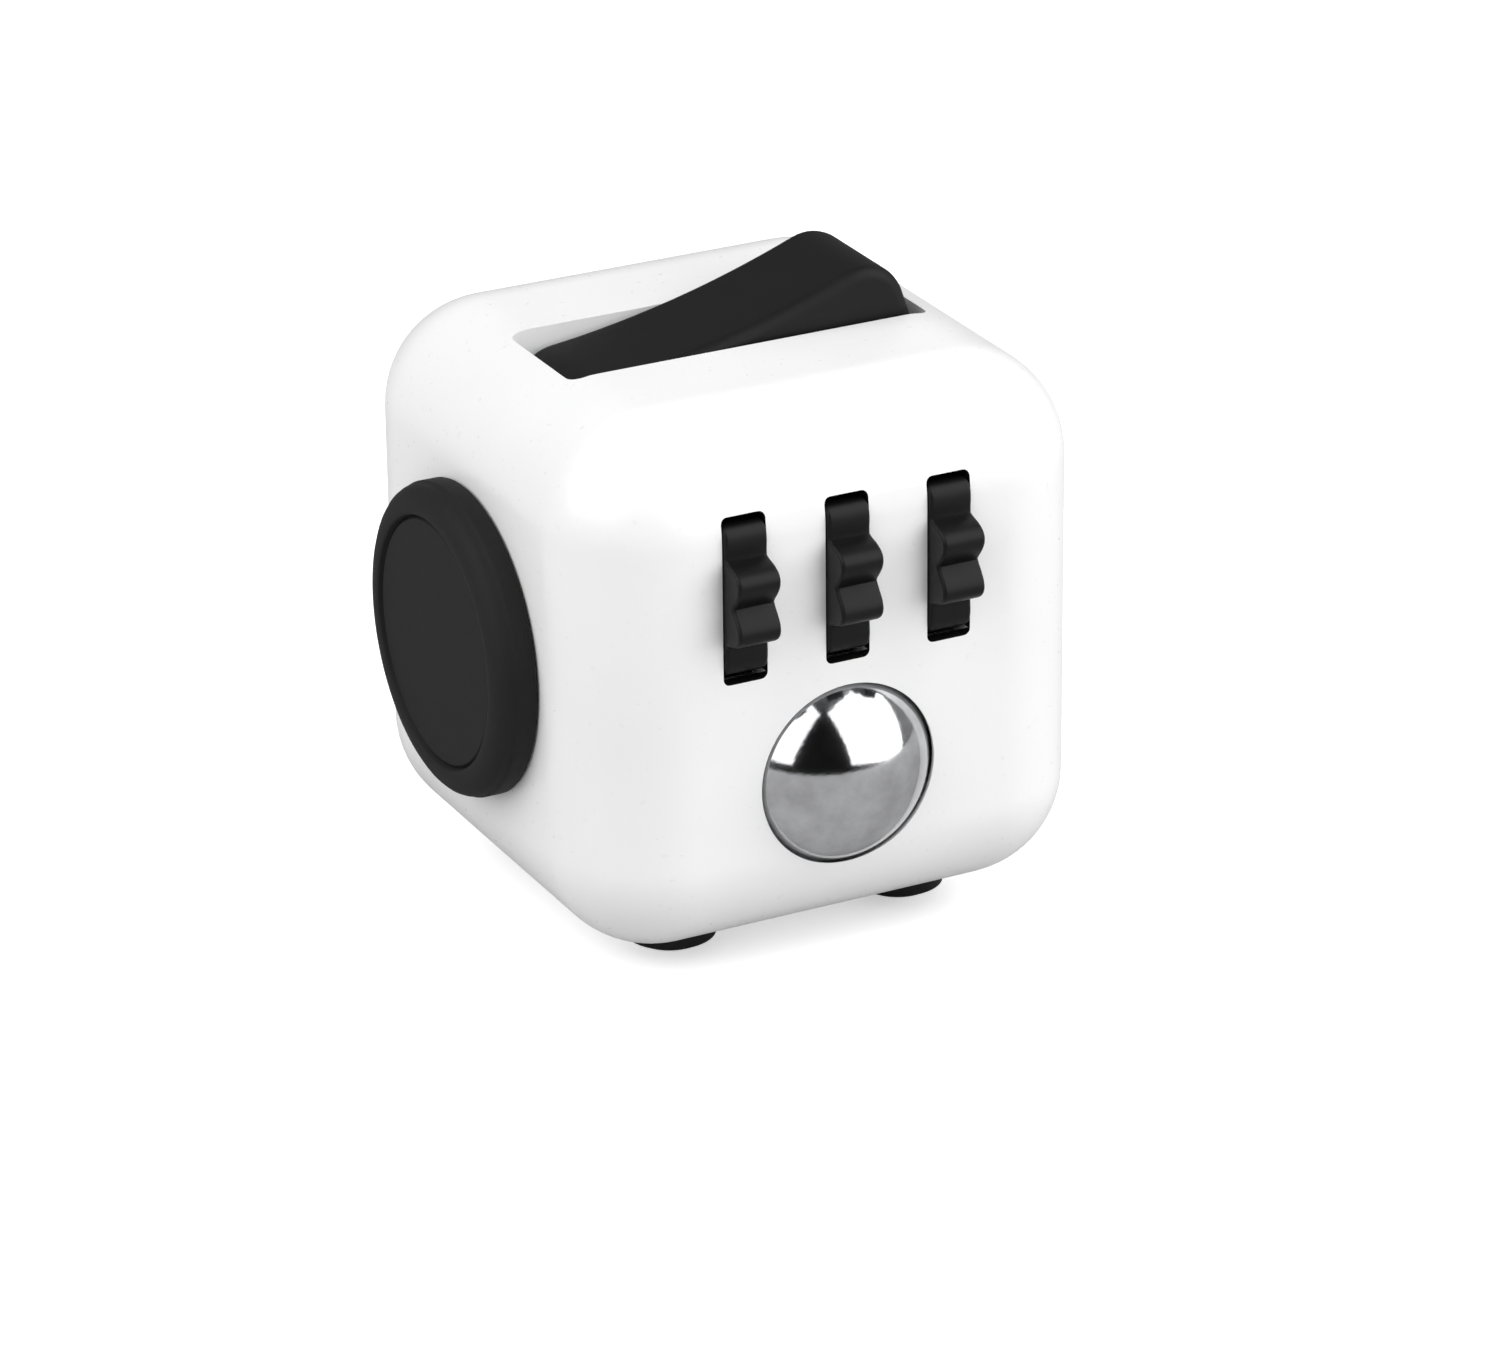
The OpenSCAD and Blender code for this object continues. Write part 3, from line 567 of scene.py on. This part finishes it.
hollow_z = MIDDLE_H + HOLLOW_R
corner = Vector((FLIP_HALF, hollow_z - math.sqrt(HOLLOW_R ** 2 - FLIP_HALF ** 2)))
down = Vector((math.sin(LEAN), -math.cos(LEAN)))
inward = Vector((math.cos(LEAN), math.sin(LEAN))) * FLIP_END_R
start = corner - inward - Vector((0, hollow_z))
along = start.dot(down)
slide = -along + math.sqrt(along ** 2 - start.dot(start) + (HOLLOW_R + FLIP_END_R) ** 2)
end_middle = Vector((0, hollow_z)) + start + slide * down
reach = math.atan2(end_middle.x, hollow_z - end_middle.y)
foot = end_middle.x + FLIP_END_R * math.cos(LEAN) + (end_middle.y - FOOT_H) * math.tan(LEAN)
print(f"rocker ends: middle at {end_middle.x:.2f}, {end_middle.y:.2f} mm from the pin, foot at {foot:.2f} mm")

# %% Rocker body
QUARTER = math.pi / 2
rocker = bmesh.new()
outline = [rocker.verts.new((foot, 0, FOOT_H))]
outline += arc(rocker, end_middle, FLIP_END_R, LEAN, QUARTER + reach, 14)
outline += arc(rocker, (0, hollow_z), HOLLOW_R, 3 * QUARTER + reach * 0.96, 3 * QUARTER - reach * 0.96, 24)
outline += arc(rocker, (-end_middle.x, end_middle.y), FLIP_END_R, QUARTER - reach, 2 * QUARTER - LEAN, 14)
outline += [rocker.verts.new((x, 0, z)) for x, z in ((-foot, FOOT_H), (1.2 - foot, 0.3), (foot - 1.2, 0.3))]
side_face = rocker.faces.new(outline)
bmesh.ops.translate(rocker, vec=(0, -FLIP_HALF_W, 0), verts=rocker.verts)
pulled = bmesh.ops.extrude_face_region(rocker, geom=[side_face], use_keep_orig=True)
moved = [v for v in pulled["geom"] if isinstance(v, bmesh.types.BMVert)]
bmesh.ops.translate(rocker, vec=(0, 2 * FLIP_HALF_W, 0), verts=moved)
bmesh.ops.recalc_face_normals(rocker, faces=rocker.faces)
RIM_R = 0.75
rim_edges = [e for e in rocker.edges if abs(abs(e.verts[0].co.y) - FLIP_HALF_W) < 1e-4
             and abs(e.verts[0].co.y - e.verts[1].co.y) < 1e-4]
bevel(rocker, rim_edges, RIM_R, 4)
print("rocker body:", len(rocker.faces), "faces")

# %% [markdown]
# Under the rocker a round boss turns on the pin, and a short stem holds the sprung plunger that snaps the
# rocker over. They are hidden in the cube, but a rocker without them could not work.

# %% Rocker boss and stem
PIN_R = 1
PLUNGER_R = 1.2
FIT = 0.06
carve(rocker, rod(2.5, -FLIP_HALF_W, FLIP_HALF_W, Y), "UNION")
carve(rocker, rod(2.1, -4.2, 0.5, Z), "UNION")
carve(rocker, rod(PIN_R + FIT, -HALF, HALF, Y, steps=48))
carve(rocker, rod(PLUNGER_R + FIT, -5, -1.5, Z, steps=48))
tilt = Matrix.Translation((0, 0, rocker_pin.z)) @ Matrix.Rotation(-FLIP_TILT, 4, "Y")
bmesh.ops.transform(rocker, matrix=tilt, verts=rocker.verts)
finished(rocker, "rocker", ROCKER_SATIN, "rocker", "flip_rocker", 50)

# %% [markdown]
# ## Lobed finger gears
# Each gear is a disc whose rim swells into ten rounded lobes. A circle of points is pushed outwards by a
# smooth wave, which keeps the lobes round and the valleys narrow, as on the real gears. The disc is then
# thickened, its rims are rounded and a hub with a bore for the pin is added.

# %% Three gears
GEAR_ROOT_R = 4.45
LOBES = 10
GEAR_HALF_W = 1.35
HUB_R, HUB_HALF = 1.15, reach_of("gear_middle").x
GEAR_PIN_R = 0.6


def lobed_gear():
    """A gear around the X axis, with a valley on the line to the front."""
    bm = bmesh.new()
    bmesh.ops.create_circle(bm, cap_ends=True, segments=LOBES * 16, radius=1)
    for v in bm.verts:
        swell = (1 - math.cos(LOBES * math.atan2(v.co.y, v.co.x))) / 2
        v.co *= GEAR_ROOT_R + (GEAR_TIP_R - GEAR_ROOT_R) * swell ** 0.7
        v.co.z = -GEAR_HALF_W
    thick = bmesh.ops.extrude_face_region(bm, geom=bm.faces[:], use_keep_orig=True)
    top = [v for v in thick["geom"] if isinstance(v, bmesh.types.BMVert)]
    bmesh.ops.translate(bm, vec=(0, 0, 2 * GEAR_HALF_W), verts=top)
    bmesh.ops.recalc_face_normals(bm, faces=bm.faces)
    bevel(bm, [e for e in bm.edges if abs(e.verts[0].co.z - e.verts[1].co.z) < 1e-4], 0.22, 3)
    bmesh.ops.rotate(bm, matrix=Matrix.Rotation(QUARTER, 3, "Z"), verts=bm.verts)
    bmesh.ops.rotate(bm, matrix=Matrix.Rotation(QUARTER, 3, "Y"), verts=bm.verts)
    carve(bm, rod(HUB_R, -HUB_HALF, HUB_HALF, X, steps=48), "UNION")
    carve(bm, rod(GEAR_PIN_R + FIT, -HALF, HALF, X, steps=48))
    return bm


for side, middle in gear_middles.items():
    gear = lobed_gear()
    bmesh.ops.translate(gear, vec=middle, verts=gear.verts)
    finished(gear, f"{side}_finger_gear", GEAR_GLOSS, f"{side}_gear", f"gear_{side}", 50)

# %% [markdown]
# ## Rolling ball
# A bearing ball is as round as anything made, so it needs a fine mesh: 128 steps around keep its mirror
# image smooth.

# %% Ball
ball = globe(ball_r, ball_middle, 128)
finished(ball, "steel_ball", BALL_STEEL, "rolling_ball", "ball", 80)

# %% [markdown]
# ## Glide disc
# The disc's cap is a round moulding, so it is turned from one profile: a flat middle, a thin groove, a raised
# ring that falls away to a small step, and a straight wall. Its stem passes through the cube's wall.

# %% Glide disc
cap_reach = reach_of("glide_cap")
DISC_R = cap_reach.z
GROOVE_R = 7.45
DISC_GAP = 0.12
STEM_R = 2.2
STEM_END = -CAVITY + 1.3 + HALF
disc_profile = [
    (0, 2.3), (GROOVE_R - 0.22, 2.3), (GROOVE_R - 0.12, 2.26), (GROOVE_R - 0.06, 2.08),
    (GROOVE_R + 0.02, 2.04), (GROOVE_R + 0.08, 2.1),
    (GROOVE_R + 0.12, 2.4), (GROOVE_R + 0.18, 2.47), (GROOVE_R + 0.3, 2.5),
    (DISC_R - 1.3, 2.49), (DISC_R - 0.8, 2.38), (DISC_R - 0.5, 2.2), (DISC_R - 0.28, 1.98),
    (DISC_R - 0.14, 1.7), (DISC_R - 0.1, 1.42), (DISC_R - 0.03, 1.36), (DISC_R, 1.28), (DISC_R, 0.25),
    (DISC_R - 0.04, 0.15), (DISC_R - 0.12, DISC_GAP), (STEM_R, DISC_GAP), (STEM_R, -STEM_END),
    (1.4, -STEM_END), (1.4, -STEM_END - 0.6),
    (0.46, -STEM_END - 0.6), (0.46, -STEM_END + 2.6), (0, -STEM_END + 2.6),
]
disc = turned(disc_profile, 160)
to_left = Matrix.Translation((-HALF, 0, 0)) @ Matrix.Rotation(-QUARTER, 4, "Y")
bmesh.ops.transform(disc, matrix=to_left, verts=disc.verts)
finished(disc, "glide_disc_cap", DISC_SATIN, "glide_disc", "glide_cap", 50)

# %% [markdown]
# ## Spin dial
# The dial is turned too, with a broad chamfer and a shaft that runs in the bush. A ball carves the dimple
# near its rim where a fingertip sits to spin it.

# %% Spin dial
DIAL_R = reach_of("spin_dial").z
DIAL_PROUD = (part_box("spin_dial")[1] - CUBE_MIDDLE).x / MM - HALF
DIMPLE_R, DIMPLE_DEPTH, DIMPLE_Z = 3, 0.7, -4.6
SHAFT_R = 2
dial_profile = [
    (0, DIAL_PROUD), (DIAL_R - 0.65, DIAL_PROUD), (DIAL_R - 0.5, DIAL_PROUD - 0.04),
    (DIAL_R - 0.1, DIAL_PROUD - 0.42), (DIAL_R, DIAL_PROUD - 0.55), (DIAL_R, 0.25),
    (DIAL_R - 0.04, 0.15), (DIAL_R - 0.12, DISC_GAP), (SHAFT_R, DISC_GAP),
    (SHAFT_R, -3.8), (SHAFT_R - 0.5, -3.8), (SHAFT_R - 0.5, -4.4),
    (SHAFT_R, -4.4), (SHAFT_R, -5.1), (SHAFT_R - 0.1, -5.2), (0, -5.2),
]
dial = turned(dial_profile, 160)
bmesh.ops.transform(dial, matrix=Matrix.Translation((HALF, 0, 0)) @ Matrix.Rotation(QUARTER, 4, "Y"),
                    verts=dial.verts)
dial_top = HALF + DIAL_PROUD
carve(dial, globe(DIMPLE_R, (dial_top + DIMPLE_R - DIMPLE_DEPTH, 0, DIMPLE_Z), 96))
soften(dial, lambda p: abs(p.x - dial_top) < 1e-3 and math.hypot(p.y, p.z - DIMPLE_Z) < DIMPLE_R,
       0.25, 3, sharper_than=20)
finished(dial, "finger_dial", DISC_SATIN, "dial", "spin_dial", 50)

# %% [markdown]
# ## Click buttons
# Five domed caps stand out of the underside, and the cube rests on them. Each is a hollow moulding with a
# flange that keeps it in its hole and a thin post that presses on the plate behind.

# %% Five buttons
BUTTON_R = 2.75
DOME_H = 0.9
dome_r = (BUTTON_R ** 2 + DOME_H ** 2) / (2 * DOME_H)
half_sweep = math.asin(BUTTON_R / dome_r)
TIP = (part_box("click_button_1")[0] - CUBE_MIDDLE).z / MM
FLANGE_Z = -CAVITY + 0.1
dome = [(dome_r * math.sin(half_sweep * i / 12), TIP + dome_r * (1 - math.cos(half_sweep * i / 12)))
        for i in range(12)]
button_profile = dome + [
    (BUTTON_R - 0.04, TIP + DOME_H - 0.06), (BUTTON_R, TIP + DOME_H + 0.08), (BUTTON_R, FLANGE_Z),
    (3.4, FLANGE_Z), (3.4, FLANGE_Z + 0.7), (2.05, FLANGE_Z + 0.7), (2.05, TIP + 1.5), (0.6, TIP + 1.5),
    (0.6, FLANGE_Z + 0.2), (0, FLANGE_Z + 0.2),
]
for number, place in enumerate(button_places, start=1):
    button = turned(button_profile, 64)
    bmesh.ops.translate(button, vec=(place[0] * BUTTON_PITCH, place[1] * BUTTON_PITCH, 0), verts=button.verts)
    finished(button, f"button_cap_{number}", BUTTON_GLOSS, f"button_{number}", f"click_button_{number}",
             50)

# %% [markdown]
# ## Studio
# The cube stands on a white table that glows a little where it is looked at, so that it stays pure white all
# around while the cube's soft shadow still shows. In mirror images the same table is a middle grey, which is
# the lower half of the steel ball. The room is pale, with one dark side in front and to the left, and the
# ball mirrors that too.


# %% White table and room
def direction(azimuth, elevation):
    """The way to look from the cube: degrees to the right of the front, and up."""
    a, e = math.radians(azimuth), math.radians(elevation)
    return Vector((math.sin(a) * math.cos(e), -math.cos(a) * math.cos(e), math.sin(e)))


TABLE_HALF = 4
UNDER_THE_CUBE = -0.0002
table_mesh = bmesh.new()
bmesh.ops.create_grid(table_mesh, x_segments=1, y_segments=1, size=TABLE_HALF)
table = as_object(table_mesh, "white_table")
table_mesh.free()
table.location.z = UNDER_THE_CUBE

table_finish, tree, _ = blank_material("lit_white_acrylic")
looked_at = node(tree, "ShaderNodeLightPath", {}, "Is Camera Ray")
whiteness = node(tree, RANGE, {"Value": looked_at, "To Min": 0.5, "To Max": 1.0}, "Result")
glow = node(tree, RANGE, {"Value": looked_at, "To Min": 0.0, "To Max": 0.5}, "Result")
shader = node(tree, SHADER, {"Base Color": whiteness, "Roughness": 0.9, "Emission Color": linear("#ffffff"),
                             "Emission Strength": glow}, "BSDF")
node(tree, OUTPUT, {"Surface": shader}, None)
table.data.materials.append(table_finish)

DARK_SIDE = direction(-27, 20)
scene = bpy.context.scene
scene.view_settings.view_transform = "Standard"
scene.world = bpy.data.worlds.new("pale_room")
scene.world.use_nodes = True
tree = scene.world.node_tree
look = node(tree, "ShaderNodeTexCoord", {}, "Generated")
facing = node(tree, "ShaderNodeVectorMath", {0: look, 1: DARK_SIDE}, "Value", operation="DOT_PRODUCT")
pale = node(tree, RANGE, {"Value": facing, "From Min": 0.75, "From Max": 0.2, "To Min": 0.01, "To Max": 0.3},
            "Result")
tree.links.new(pale, tree.nodes["Background"].inputs["Strength"])
tree.nodes["Background"].inputs["Color"].default_value = linear("#ffffff")
print("white table and pale room ready")

# %% [markdown]
# Two large soft boxes do the rest, one to the front and right and one to the left. They touch at the top
# and stand apart at the bottom, and the room is dark between them, so the steel ball mirrors a black wedge
# between two bright panels.


# %% Soft boxes
def soft_box(name, low_end, high_end, beside, size, power, distance=0.5):
    """A rectangular area light with one long side on the line between two directions of view.
    It spreads sideways from that line: to the right if beside is 1, to the left if it is -1."""
    start, stop = direction(*low_end), direction(*high_end)
    middle = (start + stop).normalized()
    outward = stop.cross(middle).normalized() * beside
    half_angle = math.atan(size[0] / 2 / distance)
    away = middle * math.cos(half_angle) + outward * math.sin(half_angle)
    along = middle.cross(outward) * beside
    light = bpy.data.lights.new(name, "AREA")
    light.shape = "RECTANGLE"
    light.size, light.size_y = size
    light.energy = power
    obj = bpy.data.objects.new(name, light)
    scene.collection.objects.link(obj)
    across = along.cross(away).normalized()
    axes = Matrix((across, away.cross(across), away)).transposed().to_4x4()
    obj.matrix_world = Matrix.Translation(CUBE_MIDDLE + away * distance) @ axes
    return obj


soft_box("front_box", (7, 0), (-13, 67), 1, (0.7, 0.66), 3.5)
soft_box("left_box", (-57, 0), (-13, 67), -1, (0.6, 0.66), 2.8)
print("soft boxes placed")

# %% [markdown]
# The camera is a short telephoto, which keeps the cube's edges almost parallel. It looks from the left and
# above, and is turned by half a degree, as a hand-held camera is.

# %% Camera
AZIMUTH, ELEVATION, ROLL = (math.radians(v) for v in (-26.99, 23.69, -0.62))
DISTANCE = 0.3833
ASIDE, ABOVE = -0.001594, 0.005988
back = Vector((math.sin(AZIMUTH) * math.cos(ELEVATION), -math.cos(AZIMUTH) * math.cos(ELEVATION),
               math.sin(ELEVATION)))
level_right = Vector((0, 0, 1)).cross(back).normalized()
level_up = back.cross(level_right)
right = level_right * math.cos(ROLL) + level_up * math.sin(ROLL)
up = level_up * math.cos(ROLL) - level_right * math.sin(ROLL)
camera = bpy.data.objects.new("camera", bpy.data.cameras.new("camera"))
camera.data.sensor_width = 36
camera.data.lens = 155.3
camera.data.clip_start, camera.data.clip_end = 0.01, 20
turn = Matrix((right, up, back)).transposed().to_4x4()
camera.matrix_world = Matrix.Translation(CUBE_MIDDLE + back * DISTANCE - right * ASIDE - up * ABOVE) @ turn
scene.collection.objects.link(camera)
scene.camera = camera
print("camera at", tuple(round(v, 3) for v in camera.location))
